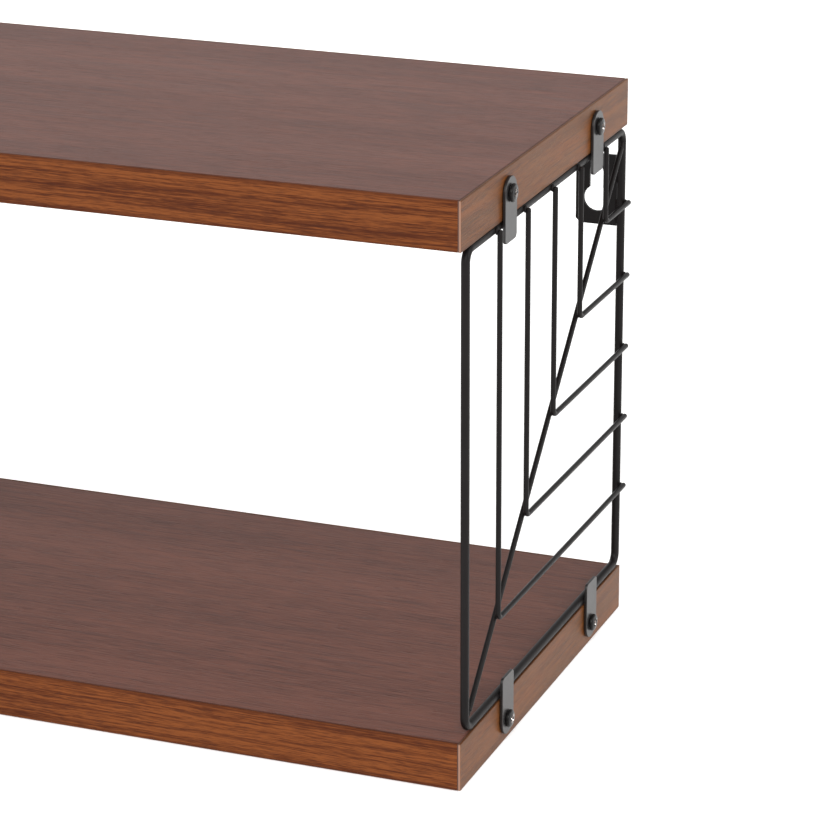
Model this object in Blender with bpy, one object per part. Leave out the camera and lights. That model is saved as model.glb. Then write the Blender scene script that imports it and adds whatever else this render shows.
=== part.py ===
"""Two-tier wall shelf: two banded boards held apart by a welded wire side frame at each end.

Metres, +Z up. X runs along the boards, the front faces -Y and the wall is at +Y.
The origin is on the ground under the middle of the lower board.
"""

from math import asin, cos, degrees, hypot, pi, radians, sin

import bmesh
import bpy
from mathutils import Matrix, Vector

# Overall sizes
LENGTH = 0.800
DEPTH = 0.200
HEIGHT = 0.240

# Pieces that touch keep this much air between them
GAP = 0.0003

# Boards
BOARD_THICKNESS = 0.020
BAND_THICKNESS = 0.001
BAND_EDGE_RADIUS = 0.0003

# Side frame wires
THICK_WIRE = 0.0035
THIN_WIRE = 0.0022
THICK_WIRE_ROUNDNESS = 6
THIN_WIRE_ROUNDNESS = 4
LOOP_SETBACK = 0.0095
LOOP_BEND_RADIUS = 0.005
DIAGONAL_INSET = 0.004
BENT_WIRES = 5
BENT_WIRE_FRONT_SPACE = 0.0292
BENT_WIRE_REAR_SPACE = 0.03075
BENT_WIRE_RADIUS = 0.003
BENT_WIRE_RISE = 0.003
BENT_WIRE_SHORT_OF_REAR = 0.0005
BENT_WIRE_PAST_RAIL = 0.0005
ARC_STEPS = 6

# Tabs that carry the boards
TAB_WIDTH = 0.013
TAB_THICKNESS = 0.0012
TAB_PAST_BOARD = 0.0094
TAB_INSET = 0.0415
TAB_CORNER_RADIUS = 0.002

# Keyhole hanger plates
HANGER_WIDTH = 0.0183
HANGER_HEIGHT = 0.031
HANGER_THICKNESS = 0.0015
HANGER_DROP = 0.0135
HANGER_CHAMFER = 0.002
KEYHOLE_ROUND = 0.0113
KEYHOLE_SLOT = 0.006
KEYHOLE_ROUND_RISE = 0.0113
KEYHOLE_SLOT_RISE = 0.0122

# Screws
SCREW_HEAD = 0.0073
SCREW_HEAD_HEIGHT = 0.0018
SCREW_SHANK = 0.0032
SCREW_LENGTH = 0.016
SCREW_POINT = 0.004
SCREW_CLEARANCE = 0.0004
SCREW_SIDES = 24
CROSS_WIDTH = 0.0009
CROSS_SPAN = 0.0036
CROSS_DEPTH = 0.0013
HOLE_SIDES = 24

# Worked out from the sizes above
FRONT = -DEPTH / 2
REAR = DEPTH / 2
BOARD_END = LENGTH / 2
LOOP_FRONT = FRONT + LOOP_SETBACK
LOOP_REAR = REAR - THICK_WIRE / 2
LOOP_BOTTOM = BOARD_THICKNESS + GAP + THICK_WIRE / 2
LOOP_TOP = HEIGHT - BOARD_THICKNESS - GAP - THICK_WIRE / 2
LOOP_PLANE = BOARD_END - THICK_WIRE / 2
DIAGONAL_PLANE = BOARD_END - THIN_WIRE / 2
OUTER_WIRE_PLANE = BOARD_END + GAP + THIN_WIRE / 2
FIRST_BENT_WIRE = LOOP_FRONT + BENT_WIRE_FRONT_SPACE
LAST_BENT_WIRE = LOOP_REAR - BENT_WIRE_REAR_SPACE
BENT_WIRE_PITCH = (LAST_BENT_WIRE - FIRST_BENT_WIRE) / (BENT_WIRES - 1)
TAB_INNER_FACE = BOARD_END + GAP
TAB_OUTER_FACE = TAB_INNER_FACE + TAB_THICKNESS
BOARDS = {"lower": BOARD_THICKNESS / 2, "upper": HEIGHT - BOARD_THICKNESS / 2}
SIDES = {"left": -1, "right": 1}
TABS = {"front": LOOP_FRONT + TAB_INSET, "rear": LOOP_REAR - TAB_INSET}


def clear_scene():
    for old in list(bpy.data.objects):
        bpy.data.objects.remove(old, do_unlink=True)


def material(name, colour, roughness, metallic=0.0):
    made = bpy.data.materials.new(name)
    made.use_nodes = True
    shader = made.node_tree.nodes["Principled BSDF"]
    shader.inputs["Base Color"].default_value = (*colour, 1.0)
    shader.inputs["Roughness"].default_value = roughness
    shader.inputs["Metallic"].default_value = metallic
    return made


def make_materials():
    return {
        "board": material("walnut_laminate", (0.23, 0.14, 0.11), 0.45),
        "band": material("walnut_edge_band", (0.36, 0.20, 0.12), 0.45),
        "wire": material("black_powder_coat", (0.02, 0.02, 0.021), 0.4, 0.3),
        "screw": material("black_screw", (0.015, 0.015, 0.015), 0.35, 0.6),
    }


def add_object(name, data, finish):
    made = bpy.data.objects.new(name, data)
    bpy.context.collection.objects.link(made)
    if finish is not None:
        data.materials.append(finish)
    return made


def arc(centre, radius, start, end, steps=ARC_STEPS):
    """Points of an arc in degrees, both ends included."""
    turns = [radians(start + (end - start) * step / steps) for step in range(steps + 1)]
    return [(centre[0] + radius * cos(turn), centre[1] + radius * sin(turn)) for turn in turns]


def circle(centre, radius, sides=HOLE_SIDES):
    return arc(centre, radius, 0, 360, sides)[:-1]


# --- boards ---------------------------------------------------------------------------------


def box(name, low, high, finish, edge_radius=0.0):
    mesh = bpy.data.meshes.new(name)
    shape = bmesh.new()
    bmesh.ops.create_cube(shape, size=1.0)
    size = Vector(high) - Vector(low)
    centre = (Vector(high) + Vector(low)) / 2
    bmesh.ops.scale(shape, vec=size, verts=shape.verts)
    bmesh.ops.translate(shape, vec=centre, verts=shape.verts)
    shape.to_mesh(mesh)
    shape.free()
    made = add_object(name, mesh, finish)
    if edge_radius:
        bevel = made.modifiers.new("softened_edges", "BEVEL")
        bevel.width = edge_radius
        bevel.segments = 2
        bevel.limit_method = "ANGLE"
    return made


def screw_drill(name, height):
    """A cutter with one rod where each screw of a board goes."""
    mesh = bpy.data.meshes.new(name)
    shape = bmesh.new()
    depth = SCREW_LENGTH + 2 * SCREW_CLEARANCE
    outside = TAB_THICKNESS + GAP
    for side in SIDES.values():
        for tab_y in TABS.values():
            rod = bmesh.ops.create_cone(
                shape,
                cap_ends=True,
                segments=HOLE_SIDES,
                radius1=SCREW_SHANK / 2 + SCREW_CLEARANCE,
                radius2=SCREW_SHANK / 2 + SCREW_CLEARANCE,
                depth=depth,
            )["verts"]
            bmesh.ops.rotate(shape, verts=rod, matrix=Matrix.Rotation(pi / 2, 3, "Y"))
            middle = side * (BOARD_END + outside - depth / 2)
            bmesh.ops.translate(shape, verts=rod, vec=(middle, tab_y, height))
    shape.to_mesh(mesh)
    shape.free()
    cutter = add_object(name, mesh, None)
    cutter.hide_render = True
    cutter.display_type = "WIRE"
    return cutter


def drill(target, cutter):
    cut = target.modifiers.new("screw_holes", "BOOLEAN")
    cut.operation = "DIFFERENCE"
    cut.solver = "EXACT"
    cut.object = cutter


def make_board(which, middle, finishes):
    """A core, and a band round each of its four edges. The end bands cover the long bands' ends."""
    low = middle - BOARD_THICKNESS / 2
    high = middle + BOARD_THICKNESS / 2
    inside_x = BOARD_END - BAND_THICKNESS - GAP
    inside_y = REAR - BAND_THICKNESS - GAP
    cutter = screw_drill(which + "_board_drill", middle)
    core = box(
        which + "_board_core",
        (-inside_x, -inside_y, low),
        (inside_x, inside_y, high),
        finishes["board"],
    )
    drill(core, cutter)
    for edge, facing in (("front", -1), ("rear", 1)):
        near, far = sorted((facing * (inside_y + GAP), facing * REAR))
        box(
            f"{which}_board_{edge}_band",
            (-inside_x, near, low),
            (inside_x, far, high),
            finishes["band"],
            BAND_EDGE_RADIUS,
        )
    for side, facing in SIDES.items():
        near, far = sorted((facing * (inside_x + GAP), facing * BOARD_END))
        end = box(
            f"{which}_board_{side}_band",
            (near, FRONT, low),
            (far, REAR, high),
            finishes["band"],
            BAND_EDGE_RADIUS,
        )
        drill(end, cutter)


# --- wires ----------------------------------------------------------------------------------


def wire(name, plane, path, diameter, roundness, finish, closed=False):
    """A round wire along (y, z) points in the plane x = plane."""
    curve = bpy.data.curves.new(name, "CURVE")
    curve.dimensions = "3D"
    curve.bevel_depth = diameter / 2
    curve.bevel_resolution = roundness
    curve.use_fill_caps = not closed
    spline = curve.splines.new("POLY")
    spline.points.add(len(path) - 1)
    for point, (y, z) in zip(spline.points, path):
        point.co = (plane, y, z, 1.0)
    spline.use_cyclic_u = closed
    spline.use_smooth = True
    return add_object(name, curve, finish)


def loop_path():
    """The closed loop: front upright, top rail, rear upright and bottom rail, with bent corners."""
    near_y, far_y = LOOP_FRONT + LOOP_BEND_RADIUS, LOOP_REAR - LOOP_BEND_RADIUS
    near_z, far_z = LOOP_BOTTOM + LOOP_BEND_RADIUS, LOOP_TOP - LOOP_BEND_RADIUS
    return (
        arc((near_y, near_z), LOOP_BEND_RADIUS, 270, 180)
        + arc((near_y, far_z), LOOP_BEND_RADIUS, 180, 90)
        + arc((far_y, far_z), LOOP_BEND_RADIUS, 90, 0)
        + arc((far_y, near_z), LOOP_BEND_RADIUS, 0, -90)
    )


def diagonal_height(y):
    """Height of the diagonal wire's middle at the depth y."""
    low = LOOP_BOTTOM + DIAGONAL_INSET
    high = LOOP_TOP - DIAGONAL_INSET
    return low + (high - low) * (y - LOOP_FRONT) / (LOOP_REAR - LOOP_FRONT)


def diagonal_path():
    """Its square-cut ends stop clear of the two uprights."""
    rise = diagonal_height(1.0) - diagonal_height(0.0)
    corner = THIN_WIRE / 2 * rise / hypot(1.0, rise)
    setback = THICK_WIRE / 2 + GAP + corner
    start = LOOP_FRONT + setback
    end = LOOP_REAR - setback
    return [(start, diagonal_height(start)), (end, diagonal_height(end))]


def bent_wire_path(number):
    """Down from the top rail, round a tight bend at the diagonal, and level back to the rear."""
    y = FIRST_BENT_WIRE + number * BENT_WIRE_PITCH
    leg = diagonal_height(y) + BENT_WIRE_RISE
    bend = arc((y + BENT_WIRE_RADIUS, leg + BENT_WIRE_RADIUS), BENT_WIRE_RADIUS, 180, 270)
    rear_end = REAR - BENT_WIRE_SHORT_OF_REAR
    return [(y, LOOP_TOP + BENT_WIRE_PAST_RAIL)] + bend + [(rear_end, leg)]


def make_wires(side, facing, finish):
    wire(
        side + "_loop",
        facing * LOOP_PLANE,
        loop_path(),
        THICK_WIRE,
        THICK_WIRE_ROUNDNESS,
        finish,
        closed=True,
    )
    wire(
        side + "_diagonal_wire",
        facing * DIAGONAL_PLANE,
        diagonal_path(),
        THIN_WIRE,
        THIN_WIRE_ROUNDNESS,
        finish,
    )
    for number in range(BENT_WIRES):
        wire(
            f"{side}_bent_wire_{number + 1}",
            facing * OUTER_WIRE_PLANE,
            bent_wire_path(number),
            THIN_WIRE,
            THIN_WIRE_ROUNDNESS,
            finish,
        )


# --- sheet pieces ---------------------------------------------------------------------------


def sheet(name, outlines, thickness, placing, finish):
    """A flat piece cut to the first outline, with the other outlines as its holes."""
    curve = bpy.data.curves.new(name, "CURVE")
    curve.dimensions = "2D"
    curve.fill_mode = "BOTH"
    curve.extrude = thickness / 2
    for outline in outlines:
        spline = curve.splines.new("POLY")
        spline.points.add(len(outline) - 1)
        for point, (u, v) in zip(spline.points, outline):
            point.co = (u, v, 0.0, 1.0)
        spline.use_cyclic_u = True
    made = add_object(name, curve, finish)
    made.matrix_world = placing
    return made


def tab_outline():
    """A strip with one round end about the screw hole and one square end with a rounded rear corner."""
    half = TAB_WIDTH / 2
    reach = BOARD_THICKNESS / 2 + TAB_PAST_BOARD
    corner = arc(
        (half - TAB_CORNER_RADIUS, -reach + TAB_CORNER_RADIUS), TAB_CORNER_RADIUS, -90, 0
    )
    return arc((0.0, 0.0), half, 0, 180, 2 * ARC_STEPS) + [(-half, -reach)] + corner


def sideways(facing, x, y, z, upright):
    """Places a flat outline on an end of the shelf: u towards the wall, v up or down."""
    u_axis = Vector((0.0, 1.0, 0.0))
    v_axis = Vector((0.0, 0.0, float(upright)))
    normal = u_axis.cross(v_axis)
    turn = Matrix((u_axis, v_axis, normal)).transposed().to_4x4()
    return Matrix.Translation((facing * x, y, z)) @ turn


def make_tabs(side, facing, finish):
    hole = circle((0.0, 0.0), SCREW_SHANK / 2 + SCREW_CLEARANCE)
    for level, middle in BOARDS.items():
        upright = 1 if level == "upper" else -1
        for place, y in TABS.items():
            sheet(
                f"{side}_{level}_{place}_tab",
                [tab_outline(), hole],
                TAB_THICKNESS,
                sideways(facing, (TAB_INNER_FACE + TAB_OUTER_FACE) / 2, y, middle, upright),
                finish,
            )


def hanger_outline():
    """u runs inwards from the upright and v up from the plate's lower edge."""
    return [
        (0.0, 0.0),
        (HANGER_WIDTH - HANGER_CHAMFER, 0.0),
        (HANGER_WIDTH, HANGER_CHAMFER),
        (HANGER_WIDTH, HANGER_HEIGHT - HANGER_CHAMFER),
        (HANGER_WIDTH - HANGER_CHAMFER, HANGER_HEIGHT),
        (0.0, HANGER_HEIGHT),
    ]


def keyhole_outline():
    """A round that passes a screw's head, opening upwards into a slot for its neck."""
    across = HANGER_WIDTH / 2
    round_radius, slot_radius = KEYHOLE_ROUND / 2, KEYHOLE_SLOT / 2
    neck = degrees(asin(slot_radius / round_radius))
    round_part = arc(
        (across, KEYHOLE_ROUND_RISE), round_radius, 90 + neck, 450 - neck, 3 * ARC_STEPS
    )
    slot_top = (across, KEYHOLE_ROUND_RISE + KEYHOLE_SLOT_RISE)
    return round_part + arc(slot_top, slot_radius, 0, 180)


def make_hanger(side, facing, finish):
    """It stands beside the rear upright, with its back in the plane of the boards' rear edges."""
    u_axis = Vector((-facing, 0.0, 0.0))
    v_axis = Vector((0.0, 0.0, 1.0))
    turn = Matrix((u_axis, v_axis, u_axis.cross(v_axis))).transposed().to_4x4()
    x = facing * (BOARD_END - THICK_WIRE - GAP)
    z = HEIGHT - BOARD_THICKNESS - HANGER_DROP - HANGER_HEIGHT
    placing = Matrix.Translation((x, REAR - HANGER_THICKNESS / 2, z)) @ turn
    outlines = [hanger_outline(), keyhole_outline()]
    sheet(side + "_hanger_plate", outlines, HANGER_THICKNESS, placing, finish)


# --- screws ---------------------------------------------------------------------------------


def screw_profile():
    """(distance along the screw from under its head, radius), from the point to the crown."""
    head = SCREW_HEAD / 2
    shank = SCREW_SHANK / 2
    dome = [
        (SCREW_HEAD_HEIGHT * sin(radians(turn)), head * cos(radians(turn)) ** 0.5)
        for turn in (20, 40, 60, 75)
    ]
    crown = (SCREW_HEAD_HEIGHT, 0.0)
    return (
        [(-SCREW_LENGTH, 0.0), (-SCREW_LENGTH + SCREW_POINT, shank), (0.0, shank), (0.0, head)]
        + dome
        + [crown]
    )


def screw_mesh(finish):
    """One screw about the X axis, its head at +X and the underside of its head at x = 0."""
    mesh = bpy.data.meshes.new("pan_head_screw")
    shape = bmesh.new()
    points = [shape.verts.new((along, 0.0, radius)) for along, radius in screw_profile()]
    edges = [shape.edges.new(pair) for pair in zip(points, points[1:])]
    bmesh.ops.spin(
        shape,
        geom=points + edges,
        cent=(0.0, 0.0, 0.0),
        axis=(1.0, 0.0, 0.0),
        angle=2 * pi,
        steps=SCREW_SIDES,
        use_merge=True,
    )
    bmesh.ops.remove_doubles(shape, verts=shape.verts, dist=1e-6)
    bmesh.ops.recalc_face_normals(shape, faces=shape.faces)
    for face in shape.faces:
        face.smooth = True
    shape.to_mesh(mesh)
    shape.free()
    mesh.set_sharp_from_angle(angle=radians(40))
    mesh.materials.append(finish)
    return mesh


def cross_cutter():
    """Two crossed bars that sink the driver's recess into a screw's crown."""
    mesh = bpy.data.meshes.new("cross_recess")
    shape = bmesh.new()
    for turn in (0, pi / 2):
        bar = bmesh.ops.create_cube(shape, size=1.0)["verts"]
        bmesh.ops.scale(shape, verts=bar, vec=(2 * CROSS_DEPTH, CROSS_WIDTH, CROSS_SPAN))
        bmesh.ops.rotate(shape, verts=bar, matrix=Matrix.Rotation(turn, 3, "X"))
    shape.to_mesh(mesh)
    shape.free()
    return mesh


def make_screws(side, facing, mesh, cross):
    """One screw through each tab, from outside."""
    for level, middle in BOARDS.items():
        for place, y in TABS.items():
            name = f"{side}_{level}_{place}_screw"
            turn = Matrix.Rotation(0.0 if facing > 0 else pi, 4, "Z")
            seat = Vector((facing * (TAB_OUTER_FACE + GAP), y, middle))
            made = bpy.data.objects.new(name, mesh)
            bpy.context.collection.objects.link(made)
            made.matrix_world = Matrix.Translation(seat) @ turn
            crown = seat + Vector((facing * SCREW_HEAD_HEIGHT, 0.0, 0.0))
            cutter = bpy.data.objects.new(name + "_recess", cross)
            bpy.context.collection.objects.link(cutter)
            cutter.hide_render = True
            cutter.display_type = "WIRE"
            cutter.matrix_world = Matrix.Translation(crown) @ turn
            cut = made.modifiers.new("cross_recess", "BOOLEAN")
            cut.operation = "DIFFERENCE"
            cut.solver = "EXACT"
            cut.use_self = True
            cut.object = cutter


def main():
    clear_scene()
    finishes = make_materials()
    for which, middle in BOARDS.items():
        make_board(which, middle, finishes)
    screw = screw_mesh(finishes["screw"])
    cross = cross_cutter()
    for side, facing in SIDES.items():
        make_wires(side, facing, finishes["wire"])
        make_tabs(side, facing, finishes["wire"])
        make_hanger(side, facing, finishes["wire"])
        make_screws(side, facing, screw, cross)


main()
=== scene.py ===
import math
import random

import bmesh
import bpy
from mathutils import Matrix, Vector, noise


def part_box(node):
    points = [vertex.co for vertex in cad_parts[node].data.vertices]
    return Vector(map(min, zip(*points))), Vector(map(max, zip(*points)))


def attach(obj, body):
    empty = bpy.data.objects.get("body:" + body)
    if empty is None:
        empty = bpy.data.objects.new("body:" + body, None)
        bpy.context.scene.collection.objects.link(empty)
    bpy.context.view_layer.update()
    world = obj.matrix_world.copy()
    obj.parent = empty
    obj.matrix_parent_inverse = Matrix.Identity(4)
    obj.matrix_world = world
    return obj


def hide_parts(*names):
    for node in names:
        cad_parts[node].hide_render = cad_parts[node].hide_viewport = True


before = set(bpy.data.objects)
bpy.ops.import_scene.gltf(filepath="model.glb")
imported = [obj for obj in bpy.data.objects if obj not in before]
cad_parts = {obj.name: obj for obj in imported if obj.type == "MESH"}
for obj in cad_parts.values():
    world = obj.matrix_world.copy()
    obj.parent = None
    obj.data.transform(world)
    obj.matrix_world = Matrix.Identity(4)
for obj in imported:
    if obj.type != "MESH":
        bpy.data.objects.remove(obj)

bl_info = {
    "name": "Two-board wall shelf",
    "version": (1, 0, 0),
    "blender": (4, 5, 0),
    "location": "3D View > Sidebar > Wall Shelf",
    "description": "Builds the looks of a wall shelf with two walnut boards and bent wire end frames",
    "category": "Object",
}

BODY = "root"
SIDES = {"left": -1, "right": 1}
BOARDS = ("lower", "upper")
ENDS = ("front", "rear")
BENT_WIRES = 5
X, Y, Z = 0, 1, 2
UP = Vector((0, 0, 1))

TINY = 1e-7
PLATE_WELD = 0.00001
PLATE_EDGE_STEPS = 3
PLATE_EDGE_ANGLE = 50
SHARP_ANGLE = 35.0
SCREW_SHARP_ANGLE = 32.0
WELD_ROUNDS = 3
LUMP_HEIGHT = 0.05
LUMP_SCALE = 1.3
SEED_PER_METRE = 100
SEED_PER_LUMP = 3.1
SCREW_SEED = 7
THREAD_ROOT, THREAD_CREST = 0.4, 0.35
HEAD_FOOT, FOOT_RISE, SHOULDER_WIDTH = 0.96, 0.06, 1.25
RECESS_RISE, RECESS_TOP, RECESS_FLOOR = 1.2, (1.08, 1.05), (0.42, 0.62)
SENSOR_WIDTH = 36.0
LIGHT_DISTANCE = 3


def tab_places():
    """Side, the way it faces, board and end of each tab and its screw."""
    return [(side, way, board, end) for side, way in SIDES.items() for board in BOARDS for end in ENDS]


def cad_size(node):
    """Width, depth and height of a CAD node."""
    low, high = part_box(node)
    return high - low


def cad_middle(node):
    """Middle of a CAD node's box."""
    low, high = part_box(node)
    return (low + high) / 2


BOARD_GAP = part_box("upper_board_right_band")[0].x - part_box("upper_board_core")[1].x
TAB_WIDTH = cad_size("right_upper_front_tab").y
SCREW_WIDTH = cad_size("right_upper_front_screw").y
SCREW_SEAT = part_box("right_upper_front_tab")[1].x + BOARD_GAP
SCREW_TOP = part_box("right_upper_front_screw")[1].x - SCREW_SEAT
SCREW_REACH = SCREW_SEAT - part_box("right_upper_front_screw")[0].x


# ---- finishes


class Field:
    """A value, colour or vector that varies over a surface. Arithmetic on values adds Math nodes."""

    def __init__(self, nodes, socket):
        self.nodes = nodes
        self.socket = socket

    def maths(self, operation, first, second):
        return self.nodes.add("ShaderNodeMath", {"operation": operation}, {0: first, 1: second})

    def __add__(self, other):
        return self.maths("ADD", self, other)

    def __radd__(self, other):
        return self.maths("ADD", other, self)

    def __sub__(self, other):
        return self.maths("SUBTRACT", self, other)

    def __rsub__(self, other):
        return self.maths("SUBTRACT", other, self)

    def __mul__(self, other):
        return self.maths("MULTIPLY", self, other)

    def __rmul__(self, other):
        return self.maths("MULTIPLY", other, self)


class Nodes:
    """A tree of shader nodes, and the one method that adds to it."""

    def __init__(self, tree):
        self.tree = tree

    def feed(self, socket, value):
        """Links a field to a socket, or sets the socket's own value."""
        if isinstance(value, Field):
            self.tree.links.new(value.socket, socket)
        else:
            socket.default_value = value

    def add(self, kind, settings=None, sockets=None, output=0):
        """Adds a node, sets its settings and then its sockets, and returns one output."""
        node = self.tree.nodes.new(kind)
        for setting, value in (settings or {}).items():
            setattr(node, setting, value)
        for socket, value in (sockets or {}).items():
            self.feed(node.inputs[socket], value)
        return Field(self, node.outputs[output])

    def step(self, value, low, high):
        """0 below low, 1 above high and a smooth change between them."""
        return self.add(
            "ShaderNodeMapRange",
            {"interpolation_type": "SMOOTHSTEP"},
            {"Value": value, "From Min": low, "From Max": high},
        )


class Finish(Nodes):
    """A material in the making, with its main shader."""

    def __init__(self, name, **constants):
        self.material = bpy.data.materials.new(name)
        self.material.use_nodes = True
        super().__init__(self.material.node_tree)
        self.shader = self.tree.nodes["Principled BSDF"]
        for socket, value in constants.items():
            self.shader.inputs[socket.replace("_", " ")].default_value = value

    def place(self):
        """The point on the object, in metres."""
        return self.add("ShaderNodeTexCoord", output="Object")

    def vector(self, operation, first, second):
        return self.add("ShaderNodeVectorMath", {"operation": operation}, {0: first, 1: second})

    def mix(self, share, first, second):
        """Mixes two colours."""
        settings = {"data_type": "RGBA", "clamp_factor": True}
        return self.add("ShaderNodeMix", settings, {0: share, 6: first, 7: second}, output=2)

    def speckle(self, place, size, detail=2.0, rough=0.5):
        """Noise with lumps of about that size: one size, or one for each axis."""
        sizes = size if isinstance(size, tuple) else (size, size, size)
        spread = self.vector("MULTIPLY", place, tuple(1 / s for s in sizes))
        sockets = {"Vector": spread, "Scale": 1.0, "Detail": detail, "Roughness": rough}
        return self.add("ShaderNodeTexNoise", {"noise_dimensions": "3D"}, sockets)

    def shade(self, **sockets):
        """Feeds the main shader's sockets."""
        for socket, value in sockets.items():
            self.feed(self.shader.inputs[socket.replace("_", " ")], value)

    def bump(self, height, distance):
        """Raises the surface by height, from 0 to 1, times a distance in metres."""
        sockets = {"Strength": 1.0, "Distance": distance, "Height": height}
        self.shade(Normal=self.add("ShaderNodeBump", {}, sockets))


def opaque(colour):
    return (*colour[:3], 1.0)


def grain_size(along, length, width):
    """Sizes for each axis of grain that runs along one axis."""
    sizes = [width, width, width]
    sizes[along] = length
    return tuple(sizes)


def wavy_place(finish, along, reach, length):
    """The point on the object, pushed sideways slowly along the grain so that the streaks wander."""
    place = finish.place()
    sway = finish.speckle(place, grain_size(along, length, length / 4), detail=1.0) - 0.5
    push = [reach, reach, reach]
    push[along] = 0.0
    pushed = finish.add("ShaderNodeVectorMath", {"operation": "SCALE"}, {0: tuple(push), "Scale": sway})
    return finish.vector("ADD", place, pushed)


def laminate_finish(colours):
    """Printed walnut on the boards' faces: broad soft figure, fine streaks and short pores."""
    finish = Finish("board_walnut", IOR=1.5, Specular_IOR_Level=0.23)
    place = wavy_place(finish, X, reach=0.012, length=0.5)
    broad = finish.speckle(place, grain_size(X, 0.6, 0.03), detail=2.0, rough=0.5)
    streak = finish.speckle(place, grain_size(X, 0.09, 0.0021), detail=3.0, rough=0.65)
    fine = finish.speckle(place, grain_size(X, 0.014, 0.0008), detail=2.0, rough=0.65)
    pores = finish.step(finish.speckle(place, grain_size(X, 0.009, 0.00045), detail=1.0), 0.58, 0.72)
    figure = finish.step(broad * 0.22 + streak * 0.33 + fine * 0.45, 0.37, 0.63)
    colour = finish.mix(figure, opaque(colours.laminate_dark), opaque(colours.laminate_light))
    colour = finish.mix(pores * 0.4, colour, opaque(colours.pore))
    finish.shade(Base_Color=colour, Roughness=0.38 + 0.1 * streak - 0.05 * broad)
    finish.bump(1 - pores * 0.5 - streak * 0.2 - fine * 0.6, 0.00012)
    return finish.material


def near_faces(finish):
    """1 at a board's top and bottom edges, where the band is made darker, and 0 away from them."""
    low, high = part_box("upper_board_core")
    half = (high.z - low.z) / 2
    middle = (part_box("lower_board_core")[0].z + high.z) / 2
    height = finish.add("ShaderNodeSeparateXYZ", {}, {0: finish.place()}, output=Z)
    board = high.z - half - middle
    from_middle = finish.add("ShaderNodeMath", {"operation": "ABSOLUTE"}, {0: height - middle})
    from_board = finish.add("ShaderNodeMath", {"operation": "ABSOLUTE"}, {0: from_middle - board})
    return finish.step(from_board, half * 0.8, half)


def band_finish(name, colours, along, contrast, sheen, rough, streak_length):
    """Walnut edge banding with fine dark streaks."""
    finish = Finish(name, IOR=1.5, Specular_IOR_Level=sheen)
    place = wavy_place(finish, along, reach=0.003, length=0.12)
    broad = finish.speckle(place, grain_size(along, 0.16, 0.0035), detail=2.0, rough=0.55)
    streak = finish.speckle(place, grain_size(along, streak_length, streak_length / 80), 3.0, rough=0.72)
    fine = finish.speckle(place, grain_size(along, 0.008, 0.00034), detail=2.0, rough=0.7)
    pores = finish.step(finish.speckle(place, grain_size(along, 0.006, 0.0003), detail=1.0), 0.56, 0.7)
    figure = finish.step(broad * 0.24 + streak * 0.4 + fine * 0.36, 0.5 - contrast, 0.5 + contrast)
    colour = finish.mix(figure, opaque(colours.band_dark), opaque(colours.band_light))
    colour = finish.mix(pores * 0.5, colour, opaque(colours.pore))
    colour = finish.mix(near_faces(finish) * 0.55, colour, opaque(colours.band_dark))
    finish.shade(Base_Color=colour, Roughness=rough + 0.12 * streak)
    finish.bump(1 - pores * 0.6 - streak * 0.4, 0.00004)
    return finish, colour


def facing(finish, axis):
    """How far the surface faces along an axis, either way, from 0 to 1."""
    normal = finish.add("ShaderNodeNewGeometry", output="Normal")
    parts = finish.add("ShaderNodeSeparateXYZ", {}, {0: normal}, output=axis)
    return finish.add("ShaderNodeMath", {"operation": "ABSOLUTE"}, {0: parts})


def end_band_finish(colours):
    """The end bands: grain along the board's depth, and a pale cut edge that shows at the front and rear."""
    finish, colour = band_finish("walnut_end_band", colours, Y, 0.09, 0.06, 0.26, 0.06)
    dulled = finish.speckle(finish.place(), grain_size(Y, 0.03, 0.004), detail=2.0)
    colour = finish.mix(0.1 + 0.5 * dulled, colour, opaque(colours.end_tint))
    edge = finish.step(facing(finish, Y), 0.3, 0.6)
    finish.shade(Base_Color=finish.mix(edge, colour, opaque(colours.cut_edge)))
    return finish.material


def glue_finish(colours):
    """Brown glue in the joint between a band and its board."""
    finish = Finish("band_glue", IOR=1.5)
    place = finish.place()
    lumps = finish.speckle(place, 0.004, detail=3.0)
    pale = finish.mix(0.5, opaque(colours.glue), opaque(colours.band_dark))
    finish.shade(Base_Color=finish.mix(lumps, opaque(colours.glue), pale), Roughness=0.5 + 0.2 * lumps)
    return finish.material


def coat_finish(name, coat, peel, rough, sheen):
    """Black powder coat on steel: fine orange peel, with slightly uneven gloss."""
    finish = Finish(name, IOR=1.5, Specular_IOR_Level=sheen)
    place = finish.place()
    patches = finish.speckle(place, 0.02, detail=2.0)
    skin = finish.speckle(place, peel, detail=2.0, rough=0.55)
    dust = finish.step(finish.speckle(place, 0.0004, detail=1.0), 0.68, 0.8)
    colour = finish.mix(patches, opaque(coat.coat_dark), opaque(coat.coat_light))
    colour = finish.mix(dust * 0.25, colour, opaque(coat.coat_fleck))
    finish.shade(Base_Color=colour, Roughness=rough + 0.12 * patches + 0.06 * skin)
    finish.bump(skin, 0.00003)
    return finish.material


def screw_finish(coat):
    """Blackened screw steel."""
    finish = Finish("black_screw_steel", IOR=1.5, Specular_IOR_Level=0.16)
    place = finish.place()
    worn = finish.speckle(place, 0.0012, detail=3.0)
    colour = finish.mix(worn, opaque(coat.screw_dark), opaque(coat.screw_light))
    finish.shade(Base_Color=colour, Roughness=0.14 + 0.14 * worn)
    finish.bump(finish.speckle(place, 0.0003, detail=2.0), 0.00001)
    return finish.material


def recess_finish(coat):
    """The screws' cross recess, where the driver has rubbed the black off the steel."""
    finish = Finish("rubbed_recess_steel", IOR=1.5)
    place = finish.place()
    rubbed = finish.step(finish.speckle(place, 0.0009, detail=2.0), 0.46, 0.56)
    finish.shade(
        Base_Color=finish.mix(rubbed, opaque(coat.screw_dark), opaque(coat.recess_steel)),
        Metallic=rubbed,
        Roughness=0.4 - 0.15 * rubbed,
    )
    return finish.material


# ---- shapes


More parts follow.
